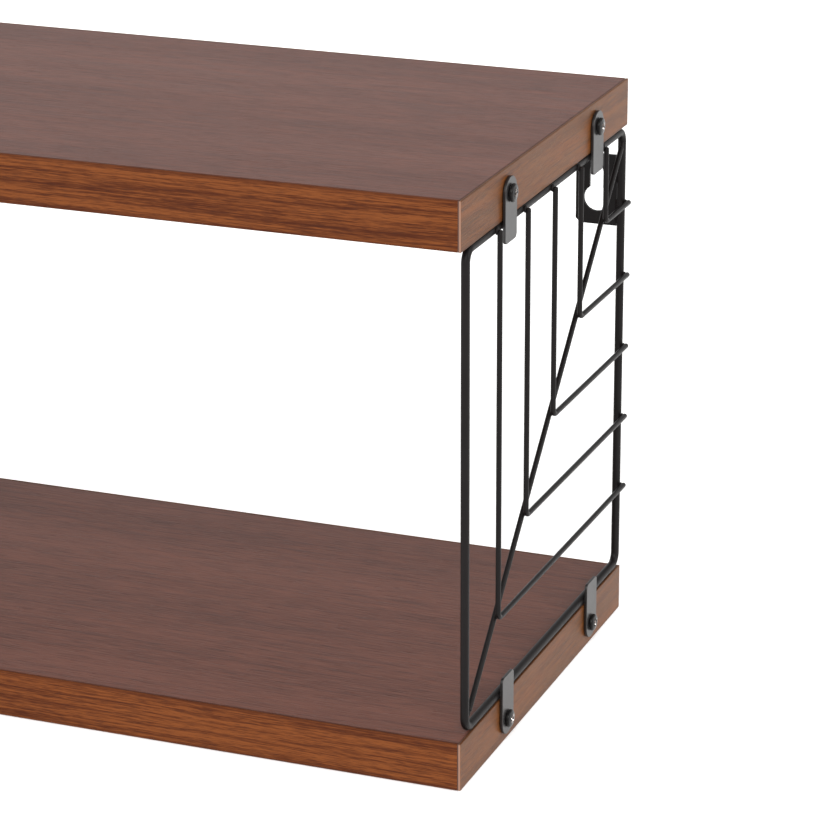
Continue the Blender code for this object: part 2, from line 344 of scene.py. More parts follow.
def add_piece(name, mesh, material, replaces=None):
    """Adds a mesh as a piece of the shelf that stands for a CAD node where one is named."""
    mesh.materials.append(material)
    piece = bpy.data.objects.new(name, mesh)
    bpy.context.scene.collection.objects.link(piece)
    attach(piece, BODY)
    if replaces:
        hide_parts(replaces)
    return piece


def add_coated(name, mesh, coat, node=None):
    """Adds a piece of coated steel."""
    return add_piece(name, mesh, bpy.data.materials[coat], node)


def mesh_from(name, form):
    """Turns a form into a mesh whose faces all point outwards."""
    bmesh.ops.recalc_face_normals(form, faces=form.faces)
    mesh = bpy.data.meshes.new(name)
    form.to_mesh(mesh)
    form.free()
    return mesh


def finish_mesh(name, form, sharp_angle=SHARP_ANGLE):
    """Turns a form into a mesh that is smooth except where its faces meet sharply."""
    bmesh.ops.remove_doubles(form, verts=form.verts, dist=TINY)
    mesh = mesh_from(name, form)
    mesh.polygons.foreach_set("use_smooth", [True] * len(mesh.polygons))
    mesh.set_sharp_from_angle(angle=math.radians(sharp_angle))
    return mesh


def lay_finish(node, material):
    """Puts a finish on a CAD node."""
    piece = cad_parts[node]
    if not piece.material_slots:
        raise RuntimeError(f"{node} has no material slot")
    for place in piece.material_slots:
        place.material = material


def flatten_faces(piece):
    """Shades the large flat faces of a sheet flat, beside its round edges."""
    flat = piece.modifiers.new("flat faces", "WEIGHTED_NORMAL")
    flat.keep_sharp = True


def arc(centre, radius, start, end, steps):
    """Points of an arc, as (y, z) pairs. Angles are in degrees."""
    angles = [math.radians(start + (end - start) * i / steps) for i in range(steps + 1)]
    return [(centre[0] + radius * math.cos(a), centre[1] + radius * math.sin(a)) for a in angles]


def ring_of(form, middle, forward, radius, sides):
    """A ring of vertices round a wire that lies in a plane of constant X."""
    out = Vector((1, 0, 0))
    across = forward.cross(out).normalized()
    turns = [2 * math.pi * i / sides for i in range(sides)]
    return [form.verts.new(middle + radius * (out * math.cos(t) + across * math.sin(t))) for t in turns]


def join_rings(form, pairs):
    """Faces between pairs of rings of vertices. A ring of one vertex is a tip."""
    for first, second in pairs:
        count = max(len(first), len(second))
        for i in range(count):
            j = (i + 1) % count
            if len(first) == 1:
                form.faces.new((first[0], second[j], second[i]))
            elif len(second) == 1:
                form.faces.new((first[i], first[j], second[0]))
            else:
                form.faces.new((first[i], first[j], second[j], second[i]))


def skin_rings(form, rings, closed):
    """Faces along a run of rings, with caps where the run is open."""
    join_rings(form, zip(rings, rings[1:]))
    if closed:
        join_rings(form, [(rings[-1], rings[0])])
    else:
        form.faces.new(list(reversed(rings[0])))
        form.faces.new(rings[-1])


def rod_mesh(name, path, x, radius, wires, closed=False):
    """A round wire along a path of (y, z) points, with its cut ends softened by the coating."""
    form = bmesh.new()
    points = [Vector((x, y, z)) for y, z in path]
    count = len(points)
    rings = []
    if not closed:
        rings += rod_end(form, points[0], (points[1] - points[0]).normalized(), radius, wires, False)
    for i in range(0 if closed else 1, count if closed else count - 1):
        before = (points[i] - points[i - 1]).normalized()
        after = (points[(i + 1) % count] - points[i]).normalized()
        rings.append(ring_of(form, points[i], (before + after).normalized(), radius, wires.sides))
    if not closed:
        rings += rod_end(form, points[-1], (points[-1] - points[-2]).normalized(), radius, wires, True)
    skin_rings(form, rings, closed)
    return finish_mesh(name, form)


def rod_end(form, tip, forward, radius, wires, last):
    """Rings that round a wire's end. They run from the tip inwards, or out to the tip at the last end."""
    soft = min(wires.end_softness, radius)
    inward = -forward if last else forward
    rings = []
    for i in range(wires.end_steps + 1):
        turn = math.pi / 2 * i / wires.end_steps
        middle = tip + inward * soft * (1 - math.cos(turn))
        rings.append((middle, radius - soft * (1 - math.sin(turn))))
    if last:
        rings.reverse()
    return [ring_of(form, middle, forward, size, wires.sides) for middle, size in rings]


def nugget(form, middle, along, across, length, width, depth, seed):
    """A small smooth lump of fused steel between two wires, long in one direction."""
    made = bmesh.ops.create_icosphere(form, subdivisions=WELD_ROUNDS, radius=1.0)["verts"]
    out = along.cross(across).normalized()
    for vert in made:
        a, b, c = vert.co
        lump = 1 + LUMP_HEIGHT * noise.noise(vert.co * LUMP_SCALE + Vector((seed, 0, 0)))
        vert.co = middle + lump * (along * a * length + across * b * width + out * c * depth)


# ---- sizes and colours


def colour_setting(name, description, default):
    return bpy.props.FloatVectorProperty(
        name=name, description=description, default=default, size=3, subtype="COLOR", min=0, max=1)


def length_setting(name, description, default, high=0.02):
    """A length in metres."""
    return bpy.props.FloatProperty(
        name=name, description=description, default=default, min=0, max=high, precision=5,
        subtype="DISTANCE", unit="LENGTH")


def place_setting(name, description, default):
    """A point in the room, in metres."""
    return bpy.props.FloatVectorProperty(
        name=name, description=description, default=default, size=3, subtype="TRANSLATION", unit="LENGTH")


def angle_setting(name, description, degrees):
    return bpy.props.FloatProperty(
        name=name, description=description, default=math.radians(degrees), subtype="ANGLE", unit="ROTATION")


def share_setting(name, description, default):
    """A number from 0 to 1."""
    return bpy.props.FloatProperty(name=name, description=description, default=default, min=0, max=1)


def light_setting(name, description, default):
    return bpy.props.FloatProperty(name=name, description=description, default=default, min=0)


def count_setting(name, description, default, low, high):
    return bpy.props.IntProperty(name=name, description=description, default=default, min=low, max=high)


class BoardLooks(bpy.types.PropertyGroup):
    """Colours of the two boards, and the glue line between band and board."""

    laminate_light: colour_setting(
        "Laminate light", "Paler walnut on the boards' faces", (0.154, 0.0545, 0.0355))
    laminate_dark: colour_setting(
        "Laminate dark", "Darker walnut on the boards' faces", (0.074, 0.0245, 0.0165))
    band_light: colour_setting("Band light", "Paler walnut of the edge banding", (0.176, 0.051, 0.0122))
    band_dark: colour_setting("Band dark", "Dark streaks of the edge banding", (0.058, 0.0125, 0.003))
    end_tint: colour_setting("End tint", "Duller brown over the end bands", (0.12, 0.064, 0.026))
    pore: colour_setting("Pores", "Short dark pores in the walnut", (0.04, 0.011, 0.005))
    cut_edge: colour_setting(
        "Cut edge", "Pale cut end of the end bands, seen at the boards' corners", (0.27, 0.155, 0.11))
    glue: colour_setting("Glue", "Glue between the bands and the board", (0.06, 0.022, 0.012))
    glue_depth: length_setting("Glue depth", "How far the glue stays below the board's surface", 0.00012)
    glue_bite: length_setting("Glue bite", "How far the glue reaches into each side of its joint", 0.00008)


class WireSizes(bpy.types.PropertyGroup):
    """How the wires are bent, ended and welded."""

    sides: count_setting("Sides", "Flat sides round a wire", 24, 8, 64)
    bend_steps: count_setting("Bend steps", "Steps in each bend", 14, 4, 48)
    end_steps: count_setting("End steps", "Steps in the soft edge of a wire's cut end", 6, 2, 16)
    loop_bend: length_setting("Loop bend", "Bend radius of the loops, to the middle of the wire", 0.005)
    bent_wire_bend: length_setting(
        "Bent wire bend", "Bend radius of the five bent wires, to the middle of the wire", 0.003)
    end_softness: length_setting("End softness", "Radius of the coated edge at a wire's cut end", 0.0007)
    weld_length: length_setting("Weld length", "Half length of a weld along a wire", 0.0016)
    weld_width: length_setting("Weld width", "Half width of a weld across a wire", 0.0013)
    weld_depth: length_setting("Weld depth", "Half thickness of a weld between two wires", 0.0008)
    tab_weld_inset: share_setting(
        "Tab weld inset", "Distance from a tab's side to its weld, as a share of the tab's width", 0.12)
    seam_margin: length_setting("Seam margin", "Distance from a keyhole plate's end to its seam", 0.002)
    seam_run: length_setting("Seam run", "Length of each weld seam on a keyhole plate", 0.009)
    seam_step: length_setting("Seam step", "Distance from one lump of a seam to the next", 0.0011)
    seam_length: length_setting("Seam lump length", "Half length of a seam's lumps", 0.001)
    seam_width: length_setting("Seam lump width", "Half width of a seam's lumps", 0.0009)
    seam_depth: length_setting("Seam lump depth", "Half thickness of a seam's lumps", 0.0006)
    seam_lift: length_setting("Seam lift", "Distance of a seam in from the plate's front face", 0.0001)


class SteelLooks(bpy.types.PropertyGroup):
    """Black coating of the wires, tabs and plates, and the screws' steel."""

    coat_light: colour_setting("Coat light", "Paler patches of the powder coat", (0.0092, 0.0073, 0.0073))
    coat_dark: colour_setting("Coat dark", "Darker patches of the powder coat", (0.0048, 0.004, 0.004))
    coat_fleck: colour_setting("Coat flecks", "Fine pale flecks in the powder coat", (0.05, 0.045, 0.045))
    recess_steel: colour_setting("Recess steel", "Bare steel in the screws' recesses", (0.62, 0.58, 0.56))
    screw_light: colour_setting("Screw light", "Worn parts of the screws", (0.012, 0.011, 0.011))
    screw_dark: colour_setting("Screw dark", "Blackened parts of the screws", (0.003, 0.0026, 0.0026))
    wire_roughness: share_setting("Wire roughness", "Roughness of the coat on wires and plates", 0.32)
    tab_roughness: share_setting("Tab roughness", "Roughness of the coat on the tabs", 0.26)
    weld_roughness: share_setting("Weld roughness", "Roughness of the coat on the welds", 0.44)
    wire_sheen: share_setting("Wire sheen", "Strength of the reflections on wires, plates and welds", 0.13)
    tab_sheen: share_setting("Tab sheen", "Strength of the reflections on the tabs", 0.62)
    wire_peel: length_setting("Wire orange peel", "Size of the coat's fine lumps on wires and plates", 0.0009)
    tab_peel: length_setting("Tab orange peel", "Size of the coat's fine lumps on the tabs", 0.00126)
    weld_peel: length_setting("Weld orange peel", "Size of the coat's fine lumps on the welds", 0.00063)


class PlateSizes(bpy.types.PropertyGroup):
    """Shapes of the tabs, keyhole plates and screws."""

    edge_radius: length_setting("Edge radius", "Radius along the edges of the punched sheet", 0.0002)
    corner_radius: length_setting("Corner radius", "Radius of a tab's two square-end corners", 0.002)
    hole: length_setting("Screw hole", "Width of the hole in a tab", 0.0036)
    edge_steps: count_setting("Edge steps", "Steps in the round edges of the tabs", 4, 1, 12)
    round_steps: count_setting("Round end steps", "Steps round the round end of a tab", 32, 8, 96)
    corner_steps: count_setting("Corner steps", "Steps round a tab's two square-end corners", 8, 2, 24)
    shank: length_setting("Screw shank", "Width of a screw over its thread", 0.0032)
    core: length_setting("Screw core", "Width of a screw inside its thread", 0.0024)
    pitch: length_setting("Thread pitch", "Distance from one turn of the thread to the next", 0.0013)
    point: length_setting("Screw point", "Length of a screw's point", 0.004)
    screw_sides: count_setting("Screw sides", "Flat sides round a screw", 40, 12, 96)
    head_steps: count_setting("Head steps", "Steps over a screw head's shoulder and its face", 10, 3, 32)
    head_wall: share_setting(
        "Head wall", "Height of a screw head's upright wall, as a share of the head's height", 0.42)
    head_shoulder: share_setting(
        "Head shoulder", "Height of a screw head's shoulder, as a share of the head's height", 0.38)
    recess_span: length_setting("Recess span", "Width of the cross recess near the top of the head", 0.0046)
    recess_width: length_setting("Recess width", "Width of each slot of the cross recess", 0.0014)
    recess_depth: length_setting("Recess depth", "Depth of the cross recess", 0.0012)
    first_turn: angle_setting("First turn", "Least turn of a cross recess", 15)
    last_turn: angle_setting("Last turn", "Greatest turn of a cross recess", 75)


class StageLooks(bpy.types.PropertyGroup):
    """Camera, floor and lights. An azimuth is 0 at the front and 90 degrees at the right."""

    camera_place: place_setting("Camera", "Where the camera stands", (0.8269, -1.2398, 0.589))
    camera_target: place_setting("Target", "The point that the camera looks at", (0.34, 0.0, 0.1181))
    camera_roll: angle_setting("Roll", "Turn of the camera about its own line of sight", -0.2225)
    lens: bpy.props.FloatProperty(
        name="Lens", description="Focal length in millimetres on a 36 mm sensor",
        default=150.8, min=10, max=400)
    floor_colour: colour_setting("Floor", "Colour of the floor", (0.92, 0.92, 0.92))
    floor_width: length_setting("Floor width", "Width and depth of the floor", 30.0, high=100.0)
    floor_drop: length_setting("Floor drop", "Distance of the floor below the lower board", 0.0004)
    floor_glow: light_setting("Floor glow", "Light that the lit floor gives by itself", 0.36)
    sky_strength: light_setting("Surroundings", "Brightness of the white surroundings overhead", 0.36)
    horizon_strength: light_setting("Horizon", "Brightness of the white surroundings at the horizon", 1.0)


def add_light_settings(name, place, azimuth, elevation, spread, strength, colour):
    """Gives the stage one light's settings. Angles are in degrees."""
    label, light = f"{name.capitalize()} light", f"the light {place}"
    StageLooks.__annotations__.update({
        f"{name}_azimuth": angle_setting(f"{label} azimuth", f"Direction of {light}", azimuth),
        f"{name}_elevation": angle_setting(f"{label} elevation", f"Height of {light}", elevation),
        f"{name}_spread": angle_setting(f"{label} spread", f"Width of {light} in the sky", spread),
        f"{name}_strength": light_setting(label, f"Strength of {light}", strength),
        f"{name}_colour": colour_setting(f"{label} colour", f"Colour of {light}", colour),
    })


LIGHTS = ("key", "fill", "side", "top")
add_light_settings("key", "at the front", 10, 37, 38, 2.25, (1.0, 0.99, 0.975))
add_light_settings("fill", "at the front left", -40, 24, 70, 0.5, (1.0, 1.0, 1.0))
add_light_settings("side", "at the right", 95, 28, 40, 1.5, (1.0, 0.99, 0.98))
add_light_settings("top", "overhead", 170, 70, 80, 0.3, (1.0, 1.0, 1.0))


# ---- pieces


def glue_bars(board, looks):
    """Low and high corners of the glue bars between a board's core and its bands."""
    core_low, core_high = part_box(f"{board}_board_core")
    end_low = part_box(f"{board}_board_left_band")[1].x
    end_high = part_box(f"{board}_board_right_band")[0].x
    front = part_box(f"{board}_board_front_band")
    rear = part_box(f"{board}_board_rear_band")
    bite, sink = looks.glue_bite, looks.glue_depth
    low_z, high_z = core_low.z + sink, core_high.z - sink
    bars = []
    for low_x, high_x in ((end_low - bite, core_low.x + bite), (core_high.x - bite, end_high + bite)):
        bars.append(((low_x, front[0].y + sink, low_z), (high_x, rear[1].y - sink, high_z)))
    for low_y, high_y in ((front[1].y - bite, core_low.y + bite), (core_high.y - bite, rear[0].y + bite)):
        bars.append(((core_low.x, low_y, low_z), (core_high.x, high_y, high_z)))
    return bars


class SHELF_OT_boards(bpy.types.Operator):
    """Put the walnut finishes on both boards and fill the joints of their bands with glue"""

    bl_idname = "wall_shelf.boards"
    bl_label = "Boards"

    def execute(self, context):
        looks = context.scene.shelf_boards
        laminate = laminate_finish(looks)
        long_band, _ = band_finish("walnut_long_band", looks, X, 0.095, 0.1, 0.42, 0.085)
        end_band = end_band_finish(looks)
        glue = glue_finish(looks)
        for board in BOARDS:
            lay_finish(f"{board}_board_core", laminate)
            for band in ("front", "rear"):
                lay_finish(f"{board}_board_{band}_band", long_band.material)
            for band in ("left", "right"):
                lay_finish(f"{board}_board_{band}_band", end_band)
            form = bmesh.new()
            for low, high in glue_bars(board, looks):
                made = bmesh.ops.create_cube(form, size=1.0)["verts"]
                low, high = Vector(low), Vector(high)
                for vert in made:
                    vert.co = (low + high) / 2 + Vector(c * s for c, s in zip(vert.co, high - low))
            mesh = finish_mesh(f"{board}_board_glue", form)
            add_piece(f"{board}_board_glue", mesh, glue)
        return {"FINISHED"}


def loop_path(side, wires):
    """Middle line of a loop, as (y, z) points, and the wire's radius."""
    low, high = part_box(f"{side}_loop")
    radius = cad_size(f"{side}_loop").x / 2
    bend, steps = wires.loop_bend, wires.bend_steps
    low_y, high_y = low.y + radius + bend, high.y - radius - bend
    low_z, high_z = low.z + radius + bend, high.z - radius - bend
    path = arc((low_y, low_z), bend, 270, 180, steps) + arc((low_y, high_z), bend, 180, 90, steps)
    path += arc((high_y, high_z), bend, 90, 0, steps) + arc((high_y, low_z), bend, 0, -90, steps)
    return path, radius


class SHELF_OT_loops(bpy.types.Operator):
    """Bend the thick wire loop of each end frame"""

    bl_idname = "wall_shelf.loops"
    bl_label = "Loops"

    def execute(self, context):
        wires = context.scene.shelf_wires
        for side in SIDES:
            path, radius = loop_path(side, wires)
            x = cad_middle(f"{side}_loop").x
            mesh = rod_mesh(f"{side}_loop_rod", path, x, radius, wires, closed=True)
            add_coated(f"{side}_loop_rod", mesh, "wire_coat", f"{side}_loop")
        return {"FINISHED"}


def diagonal_ends(side):
    """Both ends of a diagonal's middle line, and its radius."""
    low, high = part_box(f"{side}_diagonal_wire")
    radius = cad_size(f"{side}_diagonal_wire").x / 2
    lean = math.atan2(high.z - low.z, high.y - low.y)
    inset_y = radius * math.sin(lean)
    inset_z = radius * math.cos(lean)
    return (low.y + inset_y, low.z + inset_z), (high.y - inset_y, high.z - inset_z), radius


class SHELF_OT_diagonals(bpy.types.Operator):
    """Make the straight thin wire that crosses each loop"""

    bl_idname = "wall_shelf.diagonals"
    bl_label = "Diagonal wires"

    def execute(self, context):
        wires = context.scene.shelf_wires
        for side in SIDES:
            first, last, radius = diagonal_ends(side)
            x = cad_middle(f"{side}_diagonal_wire").x
            mesh = rod_mesh(f"{side}_diagonal_rod", [first, last], x, radius, wires)
            add_coated(f"{side}_diagonal_rod", mesh, "wire_coat", f"{side}_diagonal_wire")
        return {"FINISHED"}


def bent_wire_line(side, number):
    """A bent wire's upright as y, its leg as z, its top and rear ends and its radius."""
    low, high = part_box(f"{side}_bent_wire_{number}")
    radius = cad_size(f"{side}_bent_wire_{number}").x / 2
    return low.y + radius, low.z + radius, high.z, high.y, radius


class SHELF_OT_bent_wires(bpy.types.Operator):
    """Bend the five thin wires of each end frame"""

    bl_idname = "wall_shelf.bent_wires"
    bl_label = "Bent wires"

    def execute(self, context):
        wires = context.scene.shelf_wires
        for side in SIDES:
            for number in range(1, BENT_WIRES + 1):
                node = f"{side}_bent_wire_{number}"
                y, z, top, rear, radius = bent_wire_line(side, number)
                bend = wires.bent_wire_bend
                path = [(y, top)] + arc((y + bend, z + bend), bend, 180, 270, wires.bend_steps) + [(rear, z)]
                mesh = rod_mesh(f"{node}_rod", path, cad_middle(node).x, radius, wires)
                add_coated(f"{node}_rod", mesh, "wire_coat", node)
        return {"FINISHED"}


def frame_joints(side):
    """Where wires are welded: each place, and the two directions that the joined wires run in."""
    way_out = SIDES[side]
    depth, rise = Vector((0, 1, 0)), UP
    loop_low, loop_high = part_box(f"{side}_loop")
    loop_radius = cad_size(f"{side}_loop").x / 2
    outer = loop_high.x if way_out > 0 else loop_low.x
    seam = outer + way_out * BOARD_GAP / 2
    rail_top = loop_high.z - loop_radius
    rear = loop_high.y - loop_radius
    first, last, thin = diagonal_ends(side)
    slope = (last[1] - first[1]) / (last[0] - first[0])
    lean = Vector((0, last[0] - first[0], last[1] - first[1])).normalized()
    joints = []
    for number in range(1, BENT_WIRES + 1):
        y, z, _, _, _ = bent_wire_line(side, number)
        crossing = first[0] + (z - first[1]) / slope
        joints.append((Vector((seam, y, rail_top)), rise, depth))
        joints.append((Vector((seam, crossing, z)), depth, lean))
        joints.append((Vector((seam, rear, z)), depth, rise))
    middle = cad_middle(f"{side}_diagonal_wire").x
    joints.append((Vector((middle, first[0] - thin / 2, first[1] - thin / 2)), lean, rise))
    joints.append((Vector((middle, last[0] + thin / 2, last[1] + thin / 2)), lean, rise))
    return joints, seam


def tab_welds(side, board, end, wires, seam):
    """The two places where a tab is welded to its loop."""
    low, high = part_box(f"{side}_{board}_{end}_tab")
    loop_low, loop_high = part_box(f"{side}_loop")
    radius = (loop_high.x - loop_low.x) / 2
    z = loop_high.z - radius if board == "upper" else loop_low.z + radius
    inset = TAB_WIDTH * wires.tab_weld_inset
    return [Vector((seam, y, z)) for y in (low.y + inset, high.y - inset)]


class SHELF_OT_welds(bpy.types.Operator):
    """Fuse the wires, tabs and plates of each end frame where they touch"""

    bl_idname = "wall_shelf.welds"
    bl_label = "Welds"

    def execute(self, context):
        wires = context.scene.shelf_wires
        weld = (wires.weld_length, wires.weld_width, wires.weld_depth)
        lump = (wires.seam_length, wires.seam_width, wires.seam_depth)
        depth, out = Vector((0, 1, 0)), Vector((1, 0, 0))
        for side, way_out in SIDES.items():
            form = bmesh.new()
            joints, seam = frame_joints(side)
            for number, (place, along, across) in enumerate(joints):
                nugget(form, place, along, across, *weld, number)
            for board in BOARDS:
                for end in ENDS:
                    for place in tab_welds(side, board, end, wires, seam):
                        nugget(form, place, depth, UP, *weld, place.y * SEED_PER_METRE)
            add_coated(f"{side}_wire_welds", finish_mesh(f"{side}_wire_welds", form), "weld_coat")
            form = bmesh.new()
            low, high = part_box(f"{side}_hanger_plate")
            inner = high.x if way_out > 0 else low.x
            x, y = inner + way_out * BOARD_GAP / 2, low.y + wires.seam_lift
            for start in (low.z + wires.seam_margin, high.z - wires.seam_margin - wires.seam_run):
                for i in range(int(wires.seam_run / wires.seam_step) + 1):
                    place = Vector((x, y, start + i * wires.seam_step))
                    nugget(form, place, UP, out, *lump, i * SEED_PER_LUMP)
            add_coated(f"{side}_hanger_welds", finish_mesh(f"{side}_hanger_welds", form), "weld_coat")
        return {"FINISHED"}


def tab_outline(plates, width, length):
    """Outline of a tab with its screw at the origin and its square end at length, as (y, z) points."""
    half = width / 2
    corner = plates.corner_radius
    outline = arc((0, 0), half, 360, 180, plates.round_steps)
    outline += arc((-half + corner, length - corner), corner, 180, 90, plates.corner_steps)
    outline += arc((half - corner, length - corner), corner, 90, 0, plates.corner_steps)
    return outline


def shrink_outline(points, amount):
    """Moves each point of a convex outline inwards. The points run clockwise."""
    count = len(points)
    moved = []
    for i, (y, z) in enumerate(points):
        before, after = points[i - 1], points[(i + 1) % count]
        run_y, run_z = after[0] - before[0], after[1] - before[1]
        size = math.hypot(run_y, run_z) or 1.0
        moved.append((y + amount * run_z / size, z - amount * run_y / size))
    return moved


def sheet_levels(plates, thickness):
    """Each step through a punched sheet: its depth, and how far its round edges draw the outline in."""
    edge, steps = plates.edge_radius, plates.edge_steps
    turns = [math.pi / 2 * i / steps for i in range(steps + 1)]
    levels = [(edge * (1 - math.cos(turn)), edge * (1 - math.sin(turn))) for turn in turns]
    return levels + [(thickness - depth, shrink) for depth, shrink in reversed(levels)]


def tab_mesh(name, plates, place, length, thickness, way_out, upright):
    """A punched and coated tab. Its screw hole is at place, on the sheet's inner face."""
    form = bmesh.new()
    outline = tab_outline(plates, TAB_WIDTH, length)
    turns = [math.atan2(z, y) for y, z in outline]
    outer, inner = [], []
    for depth, shrink in sheet_levels(plates, thickness):
        hole = plates.hole / 2 + shrink
        edge = shrink_outline(outline, shrink)
        rim = [(hole * math.cos(turn), hole * math.sin(turn)) for turn in turns]
        for rings, points in ((outer, edge), (inner, rim)):
            steps = [Vector((way_out * depth, y, z * upright)) for y, z in points]
            rings.append([form.verts.new(place + step) for step in steps])
    join_rings(form, zip(outer, outer[1:]))
    join_rings(form, zip(inner, inner[1:]))
    join_rings(form, [(outer[0], inner[0]), (outer[-1], inner[-1])])
    return finish_mesh(name, form)


class SHELF_OT_tabs(bpy.types.Operator):
    """Punch the eight flat tabs that hold the end frames to the boards"""

    bl_idname = "wall_shelf.tabs"
    bl_label = "Tabs"

    def execute(self, context):
        plates = context.scene.shelf_plates
        for side, way_out, board, end in tab_places():
            node = f"{side}_{board}_{end}_tab"
            low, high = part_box(node)
            upright = -1 if board == "upper" else 1
            screw_z = cad_middle(f"{side}_{board}_{end}_screw").z
            far = low.z if board == "upper" else high.z
            inner = low.x if way_out > 0 else high.x
            place = Vector((inner, (low.y + high.y) / 2, screw_z))
            length, thickness = abs(far - screw_z), high.x - low.x
            mesh = tab_mesh(f"{node}_plate", plates, place, length, thickness, way_out, upright)
            flatten_faces(add_coated(f"{node}_plate", mesh, "tab_coat", node))
        return {"FINISHED"}


class SHELF_OT_hangers(bpy.types.Operator):
    """Coat the two keyhole plates and soften their punched edges"""

    bl_idname = "wall_shelf.hangers"
    bl_label = "Keyhole plates"

    def execute(self, context):
        plates = context.scene.shelf_plates
        for side in SIDES:
            lay_finish(f"{side}_hanger_plate", bpy.data.materials["wire_coat"])
            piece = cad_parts[f"{side}_hanger_plate"]
            join = piece.modifiers.new("join corners", "WELD")
            join.merge_threshold = PLATE_WELD
            soft = piece.modifiers.new("soft edges", "BEVEL")
            soft.width = plates.edge_radius
            soft.segments = PLATE_EDGE_STEPS
            soft.limit_method = "ANGLE"
            soft.angle_limit = math.radians(PLATE_EDGE_ANGLE)
            flatten_faces(piece)
        return {"FINISHED"}


def screw_profile(plates):
    """Half outline of a screw without its recess, from its point to its head's top, as (radius, height)."""
    half, core, pitch = plates.shank / 2, plates.core / 2, plates.pitch
    root, crest = pitch * THREAD_ROOT, pitch * THREAD_CREST
    profile = [(0.0, -SCREW_REACH)]
    height = pitch - SCREW_REACH
    while height < -pitch:
        share = min(1.0, (height + SCREW_REACH) / plates.point)
        profile.append((core * share, height - root))
        profile.append((half * share, height))
        profile.append((core * share, height + crest))
        height += pitch
    radius = SCREW_WIDTH / 2
    wall, shoulder = SCREW_TOP * plates.head_wall, SCREW_TOP * plates.head_shoulder
    profile += [(core, -root), (half, 0.0), (radius * HEAD_FOOT, 0.0)]
    profile += [(radius, SCREW_TOP * FOOT_RISE), (radius, wall)]
    face = radius - shoulder * SHOULDER_WIDTH
    crown = SCREW_TOP - wall - shoulder
    for i in range(1, plates.head_steps + 1):
        turn = math.pi / 2 * i / plates.head_steps
        profile.append((face + (radius - face) * math.cos(turn), wall + shoulder * math.sin(turn)))
    for i in range(1, plates.head_steps + 1):
        share = 1 - i / plates.head_steps
        profile.append((face * share, SCREW_TOP - crown * share ** 2))
    return profile


def screw_form(plates):
    """A pan head screw that points along -X with its head's underside at the origin."""
    form = bmesh.new()
    turns = [2 * math.pi * i / plates.screw_sides for i in range(plates.screw_sides)]
    rings = []
    for radius, height in screw_profile(plates):
        ring = turns if radius > TINY else turns[:1]
        rings.append([form.verts.new((height, radius * math.cos(t), radius * math.sin(t))) for t in ring])
    join_rings(form, zip(rings, rings[1:]))
    return form


def recess_form(plates):
    """Cutter for the cross recess: two crossed bars that narrow towards the bottom."""
    form = bmesh.new()
    span, width = plates.recess_span, plates.recess_width
    above = (SCREW_TOP * RECESS_RISE, span * RECESS_TOP[0], width * RECESS_TOP[1])
    below = (SCREW_TOP - plates.recess_depth, span * RECESS_FLOOR[0], width * RECESS_FLOOR[1])
    for turn in (0.0, math.pi / 2):
        for vert in bmesh.ops.create_cube(form, size=1.0)["verts"]:
            height, length, thickness = above if vert.co.x > 0 else below
            y, z = vert.co.y * length, vert.co.z * thickness
            cos, sin = math.cos(turn), math.sin(turn)
            vert.co = (height, y * cos - z * sin, y * sin + z * cos)
    return form


def cut_recess(plates, finishes):
    """A screw mesh with its cross recess cut."""
    screw = bpy.data.objects.new("screw_blank", mesh_from("screw_blank", screw_form(plates)))
    cutter = bpy.data.objects.new("recess_cutter", mesh_from("recess_cutter", recess_form(plates)))
    for finish in finishes:
        screw.data.materials.append(finish)
        cutter.data.materials.append(finish)
    for face in cutter.data.polygons:
        face.material_index = 1
    for piece in (screw, cutter):
        bpy.context.scene.collection.objects.link(piece)
    cut = screw.modifiers.new("recess", "BOOLEAN")
    cut.operation = "DIFFERENCE"
    cut.solver = "EXACT"
    cut.use_self = True
    cut.object = cutter
    bpy.context.view_layer.update()
    graph = bpy.context.evaluated_depsgraph_get()
    made = bpy.data.meshes.new_from_object(screw.evaluated_get(graph))
    if not any(face.material_index for face in made.polygons):
        raise RuntimeError("the cross recess was not cut")
    for piece in (screw, cutter):
        bpy.data.objects.remove(piece)
    return made


class SHELF_OT_screws(bpy.types.Operator):
    """Turn the eight pan head screws and cut their cross recesses"""

    bl_idname = "wall_shelf.screws"
    bl_label = "Screws"

    def execute(self, context):
        plates = context.scene.shelf_plates
        steel = screw_finish(context.scene.shelf_steel)
        rubbed = recess_finish(context.scene.shelf_steel)
        blank = cut_recess(plates, (steel, rubbed))
        turns = random.Random(SCREW_SEED)
        for side, way_out, board, end in tab_places():
            node = f"{side}_{board}_{end}_screw"
            middle = cad_middle(node)
            form = bmesh.new()
            form.from_mesh(blank)
            turn = Matrix.Rotation(turns.uniform(plates.first_turn, plates.last_turn), 4, "X")
            flip = Matrix.Rotation(0 if way_out > 0 else math.pi, 4, "Z")
            place = Matrix.Translation((way_out * SCREW_SEAT, middle.y, middle.z))
            bmesh.ops.transform(form, matrix=place @ flip @ turn, verts=form.verts)
            mesh = finish_mesh(f"{node}_turned", form, SCREW_SHARP_ANGLE)
            add_piece(f"{node}_turned", mesh, steel, node)
            mesh.materials.append(rubbed)
        bpy.data.meshes.remove(blank)
        return {"FINISHED"}


class SHELF_OT_coating(bpy.types.Operator):
    """Mix the black powder coat for the wires, tabs and welds"""

    bl_idname = "wall_shelf.coating"
    bl_label = "Powder coat"

    def execute(self, context):
        looks = context.scene.shelf_steel
        coat_finish("wire_coat", looks, looks.wire_peel, looks.wire_roughness, looks.wire_sheen)
        coat_finish("tab_coat", looks, looks.tab_peel, looks.tab_roughness, looks.tab_sheen)
        coat_finish("weld_coat", looks, looks.weld_peel, looks.weld_roughness, looks.wire_sheen)
        return {"FINISHED"}


